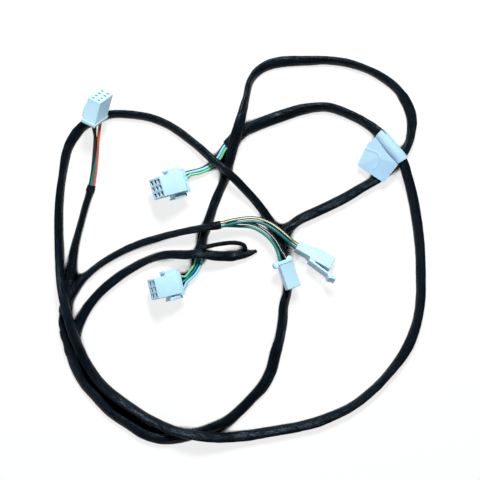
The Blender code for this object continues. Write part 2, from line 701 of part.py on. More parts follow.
def build():
    clear_scene()
    harness = link("harness", None)
    harness.location = [-middle for middle in HARNESS_MIDDLE]
    loop = smooth([*OUTER_LOOP, *UPPER_RIGHT], SLEEVE_STEP * 2 * LOOP_R)
    joint = length_of(loop) - UPPER_RIGHT_LENGTH
    outer = stretch(loop, 0, joint - CLEARANCE / 2)
    upper_right = stretch(loop, joint + CLEARANCE / 2, length_of(loop))
    cord("outer_loop_sleeve", outer, LOOP_R, "sleeve", sides=3)
    cord("upper_right_sleeve", upper_right, UPPER_RIGHT_R, "sleeve", sides=3)
    top = sleeve("top_loop_sleeve", TOP_LOOP, TOP_LOOP_R)
    trunk = sleeve("trunk_sleeve", TRUNK, TRUNK_R)
    trunk_upper = sleeve("trunk_upper_sleeve", TRUNK_UPPER, TRUNK_R)
    eight = sleeve("eight_way_branch_sleeve", EIGHT_WAY_BRANCH, EIGHT_WAY_BRANCH_R)
    two = sleeve("two_way_branch_sleeve", TWO_WAY_BRANCH, TWO_WAY_BRANCH_R)
    loose = sleeve("loose_branch_sleeve", LOOSE_BRANCH, LOOSE_BRANCH_R)

    arms = [(eight[::-1], EIGHT_WAY_BRANCH_R), (two[::-1], TWO_WAY_BRANCH_R), (trunk_upper[::-1], TRUNK_R)]
    junction("left_junction", LEFT_JUNCTION, LEFT_JUNCTION_R, arms)
    arms = [(trunk_upper, TRUNK_R), (loose[::-1], LOOSE_BRANCH_R), (trunk, TRUNK_R)]
    junction("loose_branch_junction", LOOSE_JUNCTION, LOOSE_JUNCTION_R, arms)
    arms = [(outer[::-1], LOOP_R), (top[::-1], TOP_LOOP_R), (trunk[::-1], TRUNK_R)]
    junction("centre_junction", CENTRE_JUNCTION, CENTRE_JUNCTION_R, arms)

    eight_end = end_tape("eight_way_end_tape", eight, EIGHT_WAY_END, EIGHT_WAY_END_R, EIGHT_WAY_BRANCH_R)
    nine_end = end_tape("nine_way_end_tape", upper_right, NINE_WAY_END, NINE_WAY_END_R, UPPER_RIGHT_R)
    six_end = end_tape("six_way_end_tape", top, SIX_WAY_END, SIX_WAY_END_R, TOP_LOOP_R)
    two_end = end_tape("two_way_end_tape", two, TWO_WAY_END, TWO_WAY_END_R, TWO_WAY_BRANCH_R)
    end_tape("loose_end_tape", loose, LOOSE_TIP, LOOSE_TIP_R, LOOSE_BRANCH_R)
    cord("folded_lead", smooth(FOLDED_LEAD, LEAD_STEP * 2 * FOLDED_LEAD_R), FOLDED_LEAD_R, "tape")

    for name in ("eight_way", "nine_way", "six_way", "two_way"):
        plug(name + "_plug", PLUGS[name])
    socket("two_way_socket", SOCKET)
    leads("eight_way", EIGHT_WAY_GROUP, eight_end, EIGHT_WAY_LEADS, PLUGS["eight_way"], LEAD_R)
    leads("nine_way", NINE_WAY_GROUP, nine_end, NINE_WAY_LEADS, PLUGS["nine_way"], THIN_LEAD_R)
    leads("six_way", SIX_WAY_GROUP, six_end, SIX_WAY_LEADS, PLUGS["six_way"], THIN_LEAD_R)
    leads("two_way", TWO_WAY_GROUP, two_end, TWO_WAY_LEADS, PLUGS["two_way"], LEAD_R)
    leads("socket", SOCKET_GROUP, two_end, SOCKET_LEADS, SOCKET, LEAD_R)

    label("printed_label", loop, joint, UPPER_RIGHT_R)
    flag("paper_flag")


build()
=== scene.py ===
# Wiring harness lying loose on a white floor, seen from straight above.
# Sleeves, tape, leads, label and flag are made here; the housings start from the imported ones.

import math

import bmesh
import bpy
from mathutils import Matrix, Vector, noise


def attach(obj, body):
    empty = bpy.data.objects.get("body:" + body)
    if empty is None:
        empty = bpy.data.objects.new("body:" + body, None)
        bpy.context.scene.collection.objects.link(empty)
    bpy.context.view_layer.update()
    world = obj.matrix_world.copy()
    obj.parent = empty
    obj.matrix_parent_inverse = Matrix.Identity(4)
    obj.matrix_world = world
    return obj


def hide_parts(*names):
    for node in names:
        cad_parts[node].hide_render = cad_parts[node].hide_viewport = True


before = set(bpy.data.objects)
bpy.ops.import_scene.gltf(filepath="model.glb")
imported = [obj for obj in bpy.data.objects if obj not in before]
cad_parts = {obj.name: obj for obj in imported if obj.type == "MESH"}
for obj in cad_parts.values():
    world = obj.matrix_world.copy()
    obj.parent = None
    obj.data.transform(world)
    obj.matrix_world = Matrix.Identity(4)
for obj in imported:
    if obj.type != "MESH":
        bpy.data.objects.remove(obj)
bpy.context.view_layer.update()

whole = {
    "shift": (0.0001, 0.0002, 0.0),      # from the routes' own zero to the frame's
    "body": "root",
    "gap": 0.0003,                       # between pieces that meet end to end
    "curveSteps": 24,
    "ringSpacing": 0.0014,
    "lowest": 0.0001,                    # no skin comes nearer to the floor
    "mapScale": 10,                      # a tube's own map runs ten units to the metre
    "mmPerMetre": 1000,
    "joinWithin": 1e-6,
    "flatWithin": 0.6,                   # degrees between faces that count as one flat face
}


# routes
def vectors(points):
    return [Vector(p) + Vector(whole["shift"]) for p in points]


def lengthOf(points):
    return sum((b - a).length for a, b in zip(points, points[1:]))


def pointAlong(points, distance):
    for a, b in zip(points, points[1:]):
        step = (b - a).length
        if distance <= step:
            return a.lerp(b, distance / step)
        distance -= step
    return points[-1]


def betweenKnots(points, knots, t):
    def mix(a, b, low, high):
        return a + (b - a) * ((t - low) / (high - low))

    first = [mix(points[i], points[i + 1], knots[i], knots[i + 1]) for i in range(3)]
    second = [mix(first[i], first[i + 1], knots[i], knots[i + 2]) for i in range(2)]
    return mix(second[0], second[1], knots[1], knots[2])


# evenly spaced points on the smooth curve through a route's own points
def smoothRoute(points, spacing):
    points = [2 * points[0] - points[1], *points, 2 * points[-1] - points[-2]]
    fine = []
    for i in range(len(points) - 3):
        four = points[i : i + 4]
        knots = [0.0]
        for a, b in zip(four, four[1:]):
            knots.append(knots[-1] + math.sqrt((b - a).length))
        for step in range(whole["curveSteps"]):
            t = knots[1] + (knots[2] - knots[1]) * step / whole["curveSteps"]
            fine.append(betweenKnots(four, knots, t))
    fine.append(points[-2])
    total = lengthOf(fine)
    count = max(2, round(total / spacing))
    return [fine[0], *(pointAlong(fine, total * k / count) for k in range(1, count)), fine[-1]]


def stretchOf(points, start, end):
    inner, at = [], 0.0
    for a, b in zip(points, points[1:]):
        at += (b - a).length
        if start < at < end:
            inner.append(b)
    return [pointAlong(points, start), *inner, pointAlong(points, end)]


def beyondEnd(points, distance):
    ahead = (points[-1] - points[-2]).normalized()
    return points[-1] + ahead * distance, ahead


# pieces
def settle(piece, slot, *nodes):
    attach(piece, whole["body"])
    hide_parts(*nodes)


def newPiece(name, mesh):
    data = bpy.data.meshes.new(name)
    mesh.to_mesh(data)
    mesh.free()
    piece = bpy.data.objects.new(name, data)
    bpy.context.scene.collection.objects.link(piece)
    return piece


def aloneActive(piece):
    bpy.ops.object.select_all(action="DESELECT")
    piece.select_set(True)
    bpy.context.view_layer.objects.active = piece


def applyAll(piece):
    aloneActive(piece)
    for modifier in list(piece.modifiers):
        bpy.ops.object.modifier_apply(modifier=modifier.name)


# a tube along a path: half width, half height and roll at each point, and how far the skin stands out
def makeTube(name, path, outlines, sides, skin=None):
    mesh = bmesh.new()
    around = mesh.loops.layers.uv.new("around")
    rows, travelled = [], [0.0]
    for k, centre in enumerate(path):
        ahead = (path[min(k + 1, len(path) - 1)] - path[max(k - 1, 0)]).normalized()
        right = ahead.cross(Vector((0, 0, 1))).normalized()
        up = right.cross(ahead)
        if k:
            travelled.append(travelled[-1] + (centre - path[k - 1]).length)
        wide, tall, roll = outlines[k]
        row = []
        for j in range(sides):
            turn = math.tau * j / sides
            x, z = wide * math.cos(turn), tall * math.sin(turn)
            x, z = x * math.cos(roll) - z * math.sin(roll), x * math.sin(roll) + z * math.cos(roll)
            out = right * x + up * z
            if skin:
                out += out.normalized() * skin(travelled[-1], turn)
            place = centre + out
            place.z = max(place.z, whole["lowest"])
            row.append(mesh.verts.new(place))
        rows.append(row)
    for k in range(len(rows) - 1):
        for j in range(sides):
            nextJ = (j + 1) % sides
            face = mesh.faces.new((rows[k][j], rows[k + 1][j], rows[k + 1][nextJ], rows[k][nextJ]))
            face.smooth = True
            for loop, (a, b) in zip(face.loops, ((k, j), (k + 1, j), (k + 1, j + 1), (k, j + 1))):
                loop[around].uv = (travelled[a] * whole["mapScale"], b / sides)
    for row in (rows[0], rows[-1]):
        mesh.faces.new(row)
    bmesh.ops.recalc_face_normals(mesh, faces=mesh.faces)
    return newPiece(name, mesh)


# centre lines of the sleeves in metres, then how wide each looks from above at those points, in mm
routes = {
    "outerLoop": [
        (0.0252, 0.0150, 0.0036), (0.0196, 0.0237, 0.0036), (0.0074, 0.0390, 0.0070),
        (-0.0091, 0.0556, 0.0114), (-0.0200, 0.0648, 0.0092), (-0.0325, 0.0760, 0.0048),
        (-0.0440, 0.0848, 0.0034), (-0.0533, 0.0905, 0.0032), (-0.0634, 0.0945, 0.0032),
        (-0.0792, 0.0971, 0.0032), (-0.0936, 0.0972, 0.0032), (-0.1050, 0.0932, 0.0032),
        (-0.1128, 0.0890, 0.0032), (-0.1176, 0.0837, 0.0032), (-0.1216, 0.0774, 0.0032),
        (-0.1246, 0.0699, 0.0032), (-0.1277, 0.0520, 0.0032), (-0.1298, 0.0346, 0.0032),
        (-0.1302, 0.0180, 0.0032), (-0.1299, 0.0014, 0.0036), (-0.1288, -0.0170, 0.0066),
        (-0.1262, -0.0330, 0.0120), (-0.1222, -0.0490, 0.0128), (-0.1186, -0.0610, 0.0120),
        (-0.1140, -0.0725, 0.0084), (-0.1083, -0.0847, 0.0044), (-0.0974, -0.0990, 0.0032),
        (-0.0780, -0.1137, 0.0036), (-0.0620, -0.1230, 0.0060), (-0.0471, -0.1290, 0.0098),
        (-0.0330, -0.1324, 0.0109), (-0.0180, -0.1342, 0.0080), (0.0000, -0.1340, 0.0040),
        (0.0250, -0.1302, 0.0032), (0.0542, -0.1241, 0.0032), (0.0810, -0.1121, 0.0032),
        (0.1049, -0.0913, 0.0032), (0.1218, -0.0671, 0.0032), (0.1285, -0.0450, 0.0032),
        (0.1300, -0.0180, 0.0032), (0.1285, 0.0099, 0.0032), (0.1243, 0.0359, 0.0040),
        (0.1190, 0.0545, 0.0096), (0.1158, 0.0634, 0.0119), (0.1078, 0.0735, 0.0102),
    ],
    "upperRight": [
        (0.0997, 0.0834, 0.0064), (0.0874, 0.0928, 0.0037), (0.0718, 0.0998, 0.0035),
        (0.0634, 0.1023, 0.0035), (0.0547, 0.1023, 0.0035), (0.0434, 0.1004, 0.0035),
        (0.0290, 0.0959, 0.0035), (0.0144, 0.0906, 0.0035), (0.0030, 0.0850, 0.0035),
    ],
    "topLoop": [
        (0.0354, 0.0162, 0.0036), (0.0429, 0.0218, 0.0034), (0.0538, 0.0268, 0.0032),
        (0.0672, 0.0331, 0.0032), (0.0791, 0.0394, 0.0032), (0.0872, 0.0445, 0.0032),
        (0.0988, 0.0509, 0.0032), (0.1085, 0.0585, 0.0032), (0.1160, 0.0668, 0.0032),
        (0.1206, 0.0750, 0.0032), (0.1231, 0.0840, 0.0032), (0.1236, 0.0920, 0.0032),
        (0.1222, 0.0995, 0.0032), (0.1188, 0.1072, 0.0032), (0.1130, 0.1155, 0.0032),
        (0.1030, 0.1234, 0.0032), (0.0893, 0.1303, 0.0032), (0.0756, 0.1345, 0.0032),
        (0.0617, 0.1361, 0.0032), (0.0470, 0.1358, 0.0032), (0.0341, 0.1354, 0.0032),
        (0.0227, 0.1336, 0.0032), (0.0135, 0.1289, 0.0032), (0.0074, 0.1215, 0.0036),
        (0.0048, 0.1110, 0.0054), (0.0022, 0.1000, 0.0092), (-0.0008, 0.0890, 0.0114),
        (-0.0032, 0.0800, 0.0110), (-0.0060, 0.0690, 0.0068), (-0.0088, 0.0575, 0.0034),
        (-0.0125, 0.0470, 0.0032), (-0.0178, 0.0345, 0.0032), (-0.0224, 0.0220, 0.0032),
        (-0.0256, 0.0110, 0.0032), (-0.0280, 0.0030, 0.0032),
    ],
    "trunk": [
        (0.0300, -0.0015, 0.0039), (0.0322, -0.0090, 0.0035), (0.0340, -0.0190, 0.0035),
        (0.0342, -0.0300, 0.0035), (0.0314, -0.0399, 0.0035), (0.0306, -0.0505, 0.0035),
        (0.0290, -0.0615, 0.0035), (0.0254, -0.0745, 0.0035), (0.0221, -0.0872, 0.0035),
        (0.0158, -0.0990, 0.0035), (0.0078, -0.1076, 0.0035), (-0.0003, -0.1158, 0.0035),
        (-0.0095, -0.1236, 0.0035), (-0.0208, -0.1282, 0.0035), (-0.0317, -0.1322, 0.0035),
        (-0.0430, -0.1352, 0.0035), (-0.0560, -0.1360, 0.0035), (-0.0685, -0.1328, 0.0035),
        (-0.0806, -0.1253, 0.0035), (-0.0930, -0.1170, 0.0035), (-0.1033, -0.1060, 0.0035),
        (-0.1120, -0.0965, 0.0035), (-0.1180, -0.0850, 0.0035), (-0.1210, -0.0755, 0.0039),
    ],
    "trunkUpper": [
        (-0.1262, -0.0460, 0.0039), (-0.1264, -0.0515, 0.0038), (-0.1257, -0.0575, 0.0039),
    ],
    "eightBranch": [
        (-0.1219, -0.0215, 0.0033), (-0.1211, -0.0140, 0.0030), (-0.1200, -0.0061, 0.0029),
        (-0.1182, 0.0048, 0.0029), (-0.1148, 0.0179, 0.0029), (-0.1112, 0.0310, 0.0029),
        (-0.1078, 0.0420, 0.0029),
    ],
    "twoBranch": [
        (-0.1122, -0.0200, 0.0032), (-0.1041, -0.0129, 0.0027), (-0.0903, -0.0041, 0.0026),
        (-0.0731, 0.0040, 0.0032), (-0.0560, 0.0092, 0.0050), (-0.0395, 0.0131, 0.0082),
        (-0.0240, 0.0160, 0.0099), (-0.0200, 0.0167, 0.0099),
    ],
    "looseBranch": [
        (-0.1168, -0.0572, 0.0034), (-0.1117, -0.0448, 0.0031), (-0.1024, -0.0324, 0.0031),
        (-0.0905, -0.0217, 0.0031), (-0.0771, -0.0131, 0.0031), (-0.0646, -0.0068, 0.0034),
        (-0.0518, -0.0035, 0.0050), (-0.0389, -0.0036, 0.0086), (-0.0290, -0.0028, 0.0103),
        (-0.0170, -0.0042, 0.0080), (-0.0060, -0.0046, 0.0042), (-0.0005, -0.0040, 0.0034),
    ],
    "foldedLead": [
        (0.0040, -0.0002, 0.0032), (0.0030, 0.0030, 0.0038), (0.0000, 0.0045, 0.0044),
        (-0.0045, 0.0050, 0.0056), (-0.0101, 0.0047, 0.0076), (-0.0158, 0.0039, 0.0100),
        (-0.0216, 0.0027, 0.0126), (-0.0262, 0.0016, 0.0140),
    ],
}
widths = {
    "outerLoop": [
        6.2, 6.2, 6.2, 6.0, 5.8, 5.4, 5.6, 5.6, 5.5, 5.5, 5.5, 5.8, 6.4, 7.2, 6.8, 6.2,
        5.5, 5.7, 6.1, 6.0, 6.0, 6.2, 6.4, 6.6, 6.6, 6.8, 6.8, 6.6, 6.4, 6.6, 6.8, 7.0,
        7.4, 7.1, 7.2, 6.0, 5.8, 7.2, 6.3, 6.7, 6.7, 7.0, 6.9, 6.6, 6.6,
    ],
    "upperRight": [
        7.2, 6.1, 6.4, 6.3, 6.6, 7.6, 8.2, 8.0, 7.4,
    ],
    "topLoop": [
        6.6, 7.2, 7.4, 7.4, 7.2, 6.8, 6.4, 6.0, 5.6, 5.3, 6.1, 6.9, 7.5, 7.2, 5.6, 5.4,
        5.1, 5.4, 5.8, 6.8, 7.2, 7.0, 6.2, 4.9, 4.8, 6.2, 7.2, 7.8, 7.2, 6.2, 6.0, 6.6,
        6.0, 5.6, 5.9,
    ],
    "trunk": [
        5.6, 5.4, 5.8, 6.0, 6.8, 7.1, 7.1, 8.0, 8.2, 8.0, 7.5, 7.6, 8.0, 7.4, 7.2, 7.4,
        7.6, 7.6, 7.4, 7.2, 7.2, 7.2, 7.4, 7.4,
    ],
    "trunkUpper": [
        7.6, 7.6, 7.4,
    ],
    "eightBranch": [
        6.2, 6.5, 6.2, 5.6, 5.2, 5.1, 5.0,
    ],
    "twoBranch": [
        4.6, 4.5, 4.9, 4.9, 5.2, 5.0, 5.2, 5.2,
    ],
    "looseBranch": [
        6.6, 6.9, 6.3, 6.5, 5.8, 5.0, 6.0, 6.4, 6.6, 7.2, 7.4, 7.0,
    ],
}


# wide and thin share of a flattened sleeve's radius, and how its skin is creased, in metres
sleeveLook = {
    "flat": 1.24,
    "thin": 0.68,
    "sides": 28,
    "roundEnd": 0.006,
    "overlap": 0.0012,                   # how far a sleeve runs on into its junction or tape
    "creases": (0.00034, 60.0),
    "fineCreases": (0.00016, 210.0),
    "lap": (0.00007, 0.016),
}
sleeves = {
    "outer_loop_sleeve": {"radius": 0.0032, "widths": "outerLoop"},
    "upper_right_sleeve": {"radius": 0.0035, "widths": "upperRight"},
    "top_loop_sleeve": {"radius": 0.0032, "widths": "topLoop"},
    "trunk_sleeve": {"radius": 0.0035, "widths": "trunk"},
    "trunk_upper_sleeve": {"radius": 0.0035, "widths": "trunkUpper"},
    "eight_way_branch_sleeve": {"radius": 0.0028, "widths": "eightBranch"},
    "two_way_branch_sleeve": {"radius": 0.0025, "widths": "twoBranch"},
    "loose_branch_sleeve": {"radius": 0.0030, "widths": "looseBranch"},
}
upperRightLength = 0.1185


skinNoise = {"seedStep": 7.3, "fineAround": 2}


# how far a wound skin stands out: soft creases and the step of each lap of tape
def windSkin(creases, lap, seed, fine=None):
    def skin(at, turn):
        x, y = math.cos(turn) + seed * skinNoise["seedStep"], math.sin(turn)
        out = creases[0] * noise.noise(Vector((x, y, at * creases[1])))
        if fine:
            times = skinNoise["fineAround"]
            out += fine[0] * noise.noise(Vector((x * times, y * times, at * fine[1])))
        return out + lap[0] * ((at / lap[1] + turn / math.tau) % 1.0)

    return skin


# half width, half height and roll of a flattened sleeve that looks as wide as the photograph shows
def flattened(path, radius, knots, looks):
    at, total = 0.0, lengthOf(path)
    places = []
    for knot in knots:
        nearest = min(range(len(path)), key=lambda k: (path[k] - knot).length)
        places.append(nearest)
    flat, thin = sleeveLook["flat"] * radius, sleeveLook["thin"] * radius
    outlines = []
    for k in range(len(path)):
        if k:
            at += (path[k] - path[k - 1]).length
        later = next((i for i, place in enumerate(places) if place >= k), len(places) - 1)
        early = max(later - 1, 0)
        span = max(places[later] - places[early], 1)
        share = min(max((k - places[early]) / span, 0.0), 1.0)
        share = share * share * (3 - 2 * share)
        half = (looks[early] + (looks[later] - looks[early]) * share) / 2 / whole["mmPerMetre"]
        cosine = (half * half - thin * thin) / (flat * flat - thin * thin)
        roll = math.acos(math.sqrt(min(max(cosine, 0.0), 1.0)))
        rounded = 1 - min(min(at, total - at) / sleeveLook["roundEnd"], 1.0)
        rounded = rounded * rounded * (3 - 2 * rounded)
        outlines.append((flat + (radius - flat) * rounded, thin + (radius - thin) * rounded, roll))
    return outlines


def makeSleeve(name, path, number):
    facts = sleeves[name]
    key = facts["widths"]
    before, _ = beyondEnd(path[::-1], sleeveLook["overlap"])
    after, _ = beyondEnd(path, sleeveLook["overlap"])
    longer = [before, *path, after]
    outlines = flattened(longer, facts["radius"], vectors(routes[key]), widths[key])
    skin = windSkin(sleeveLook["creases"], sleeveLook["lap"], number, sleeveLook["fineCreases"])
    piece = makeTube(name.replace("_sleeve", "_cover"), longer, outlines, sleeveLook["sides"], skin)
    piece.data.materials.append(materials["sleeve"])
    settle(piece, "sleeve_black", name)


tapeLook = {
    "sides": 24,
    "spacing": 0.0006,
    "runBack": 0.0008,                   # how far an end tape starts inside its sleeve
    "thick": 1.04,
    "wide": 0.06,                        # how much wider and lower than round it starts
    "low": 0.05,
    "lap": (0.00022, 0.0052),
    "creases": (0.00022, 170.0),
    "voxel": 0.00045,
    "smoothing": 14,
    "over": 0.0003,
    "lumps": (0.00040, 190.0),
    "turns": (0.00016, 1100.0),
    "slant": (0.82, 0.55, 0.15),
    "waver": (2, 120.0),
    "bendAt": 3,                         # an end tape turns to its tip after one third
    "lineSteps": 6,
    "firstSeed": 10,
}
endTapes = {
    "nine_way_end_tape": {
        "on": "upper_right_sleeve", "tip": (-0.0098, 0.0750, 0.0033), "tipRadius": 0.0031,
    },
    "six_way_end_tape": {
        "on": "top_loop_sleeve", "tip": (-0.0292, -0.0045, 0.0032), "tipRadius": 0.0031,
    },
    "eight_way_end_tape": {
        "on": "eight_way_branch_sleeve", "tip": (-0.1067, 0.0462, 0.0029), "tipRadius": 0.0026,
    },
    "two_way_end_tape": {
        "on": "two_way_branch_sleeve", "tip": (-0.0138, 0.0179, 0.0095), "tipRadius": 0.0028,
    },
    "loose_end_tape": {
        "on": "loose_branch_sleeve", "tip": (0.0120, -0.0008, 0.0020), "tipRadius": 0.0009,
    },
}


def makeEndTape(name, line, radius, seed):
    facts = endTapes[name]
    start, ahead = beyondEnd(line, whole["gap"])
    tip = vectors([facts["tip"]])[0]
    reach = (tip - start).length
    bend = start + ahead * reach / tapeLook["bendAt"]
    path = smoothRoute([start - ahead * tapeLook["runBack"], bend, tip], tapeLook["spacing"])
    outlines = []
    for k in range(len(path)):
        share = k / (len(path) - 1)
        r = radius * tapeLook["thick"] + (facts["tipRadius"] - radius) * share
        wide, low = tapeLook["wide"] * (1 - share), tapeLook["low"] * (1 - share)
        outlines.append((r * (1 + wide), r * (1 - low), 0.0))
    skin = windSkin(tapeLook["creases"], tapeLook["lap"], seed)
    piece = makeTube(name.replace("_tape", "_wrap"), path, outlines, tapeLook["sides"], skin)
    piece.data.materials.append(materials["tape"])
    settle(piece, "tape_black", name)
    return smoothRoute([start, bend, tip], reach / tapeLook["lineSteps"])


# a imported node's own mesh as one joined surface, as a start for a finer piece
def copyOfNode(node, name):
    mesh = bmesh.new()
    mesh.from_mesh(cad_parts[node].data)
    bmesh.ops.remove_doubles(mesh, verts=mesh.verts, dist=whole["joinWithin"])
    flat = math.radians(whole["flatWithin"])
    bmesh.ops.dissolve_limit(mesh, angle_limit=flat, verts=mesh.verts, edges=mesh.edges)
    return newPiece(name, mesh)


def makeJunction(node, number):
    piece = copyOfNode(node, node.replace("_junction", "_binding"))
    remesh = piece.modifiers.new("oneSkin", "REMESH")
    remesh.mode = "VOXEL"
    remesh.voxel_size = tapeLook["voxel"]
    soften = piece.modifiers.new("soften", "SMOOTH")
    soften.iterations = tapeLook["smoothing"]
    applyAll(piece)
    lumps, turns, waver = tapeLook["lumps"], tapeLook["turns"], tapeLook["waver"]
    slant = Vector(tapeLook["slant"]).normalized()
    for vertex in piece.data.vertices:
        out = lumps[0] * noise.noise(vertex.co * lumps[1] + Vector((number, 0, 0)))
        turn = vertex.co.dot(slant) * turns[1] + waver[0] * noise.noise(vertex.co * waver[1])
        out += turns[0] * abs(math.sin(turn))
        vertex.co += vertex.normal * (out + tapeLook["over"])
        vertex.co.z = max(vertex.co.z, whole["lowest"])
    for polygon in piece.data.polygons:
        polygon.use_smooth = True
    piece.data.materials.append(materials["tape"])
    settle(piece, "tape_black", node)


# the housings: middle; heading, tilt and roll in degrees; cells across and up; length; cell pitch; the
# painted shade of the cells and how far behind the front it starts
pitch = 0.0045
cellSize = 0.0033
housings = {
    "eight_way_plug": {
        "place": (-0.1007, 0.1004, 0.0224), "turn": (-18.5, 32.0, -14.5), "cells": (2, 4), "length": 0.0205,
        "pitch": pitch, "shade": "paintedPaleCellShade",
    },
    "nine_way_plug": {
        "place": (-0.0505, 0.0460, 0.0144), "turn": (106.6, 36.4, 0.0), "cells": (3, 3), "length": 0.0215,
        "pitch": pitch,
    },
    "six_way_plug": {
        "place": (-0.0532, -0.0261, 0.0122), "turn": (103.1, 35.7, 0.0), "cells": (3, 2), "length": 0.0215,
        "pitch": pitch, "shadeDepth": 0.00022,
    },
    "two_way_plug": {
        "place": (0.0345, -0.0173, 0.0116), "turn": (-160.3, 0.0, -20.0), "cells": (2, 1), "length": 0.0210,
        "pitch": pitch,
    },
    "two_way_socket": {
        "place": (0.0531, -0.0045, 0.0068), "turn": (-119.9, 0.0, -34.0), "cells": (2, 1), "length": 0.0285,
        "pitch": 0.0036,
    },
}
# blocks cut from or added to a housing, each with its middle and size in the housing's own directions
housingCuts = {
    "nine_way_plug": [((x, -0.0097, 0.0085), (0.0010, 0.0012, 0.0020)) for x in (0.0026, -0.0004)],
}
housingRibs = {
    "nine_way_plug": [((0.0, 0.0030, -0.0075), (0.0060, 0.0120, 0.0008))],
    "six_way_plug": [
        ((x, 0.0103, z), (0.0036, 0.0005, 0.0018)) for x in (-pitch, 0.0, pitch) for z in (-0.0031, 0.0014)
    ],
    "two_way_socket": [((0.0, 0.0100, 0.0038), (0.0030, 0.0070, 0.0006))],
}
housingLook = {
    "edge": 0.00022,
    "edgeSteps": 2,
    "smoothAngle": 35.0,
    "shadeDepth": 0.0006,                # painted cell shade starts this far behind the front
    "shadeSlack": 0.0002,
    "cellSlack": 0.0001,
    "frontLayer": 0.0005,
    "facing": 0.6,
}


def housingFrame(facts):
    heading, tilt, roll = (math.radians(angle) for angle in facts["turn"])
    turn = Matrix.Rotation(heading, 4, "Z") @ Matrix.Rotation(tilt, 4, "X") @ Matrix.Rotation(roll, 4, "Y")
    return Matrix.Translation(Vector(facts["place"]) + Vector(whole["shift"])) @ turn


def cellPlace(facts, cell):
    return tuple((k - (count - 1) / 2) * facts["pitch"] for k, count in zip(cell, facts["cells"]))


def shapeBlock(piece, turn, middle, size, operation):
    bpy.ops.object.select_all(action="DESELECT")
    bpy.ops.mesh.primitive_cube_add(size=1)
    block = bpy.context.object
    block.data.transform(turn @ Matrix.Translation(middle) @ Matrix.Diagonal((*size, 1)))
    modifier = piece.modifiers.new("block", "BOOLEAN")
    modifier.operation = operation
    modifier.object = block
    aloneActive(piece)
    bpy.ops.object.modifier_apply(modifier=modifier.name)
    bpy.data.objects.remove(block)


# painted shade on the inside faces of the cells, so that they read as deep holes
def shadeCells(piece, facts, turn):
    back = turn.inverted()
    half = cellSize / 2 + housingLook["cellSlack"]
    front = facts["length"] / 2
    limit = front - facts.get("shadeDepth", housingLook["shadeDepth"]) + housingLook["shadeSlack"]
    across, up = facts["cells"]
    spots = [cellPlace(facts, (i, j)) for i in range(across) for j in range(up)]
    for polygon in piece.data.polygons:
        corners = [back @ piece.data.vertices[k].co for k in polygon.vertices]
        ahead = (back.to_3x3() @ polygon.normal).y
        if ahead > housingLook["facing"] and min(p.y for p in corners) > front - housingLook["frontLayer"]:
            continue
        for x, z in spots:
            if all(abs(p.x - x) < half and abs(p.z - z) < half and p.y < limit for p in corners):
                polygon.material_index = 1


def makeHousing(node):
    facts = housings[node]
    turn = housingFrame(facts)
    piece = copyOfNode(node, node.replace("_plug", "_housing").replace("_socket", "_shroud"))
    for middle, size in housingRibs.get(node, []):
        shapeBlock(piece, turn, middle, size, "UNION")
    for middle, size in housingCuts.get(node, []):
        shapeBlock(piece, turn, middle, size, "DIFFERENCE")
    bevel = piece.modifiers.new("softEdges", "BEVEL")
    bevel.width = housingLook["edge"]
    bevel.segments = housingLook["edgeSteps"]
    bevel.limit_method = "ANGLE"
    bevel.angle_limit = math.radians(housingLook["smoothAngle"])
    applyAll(piece)
    aloneActive(piece)
    bpy.ops.object.shade_smooth_by_angle(angle=math.radians(housingLook["smoothAngle"]))
    piece.data.materials.clear()
    piece.data.materials.append(materials["nylon"])
    # the second material is painted shade, laid on the cells' inside faces below
    piece.data.materials.append(materials[facts.get("shade", "paintedCellShade")])
    shadeCells(piece, facts, turn)
    settle(piece, "nylon_natural", node)


leadLook = {
    "sides": 14,
    "spacing": 0.0011,
    "approach": 0.0025,
    "straight": 0.0020,
    "setback": 0.0040,                   # how far a lead ends inside its housing
    "overlap": 0.0012,
}
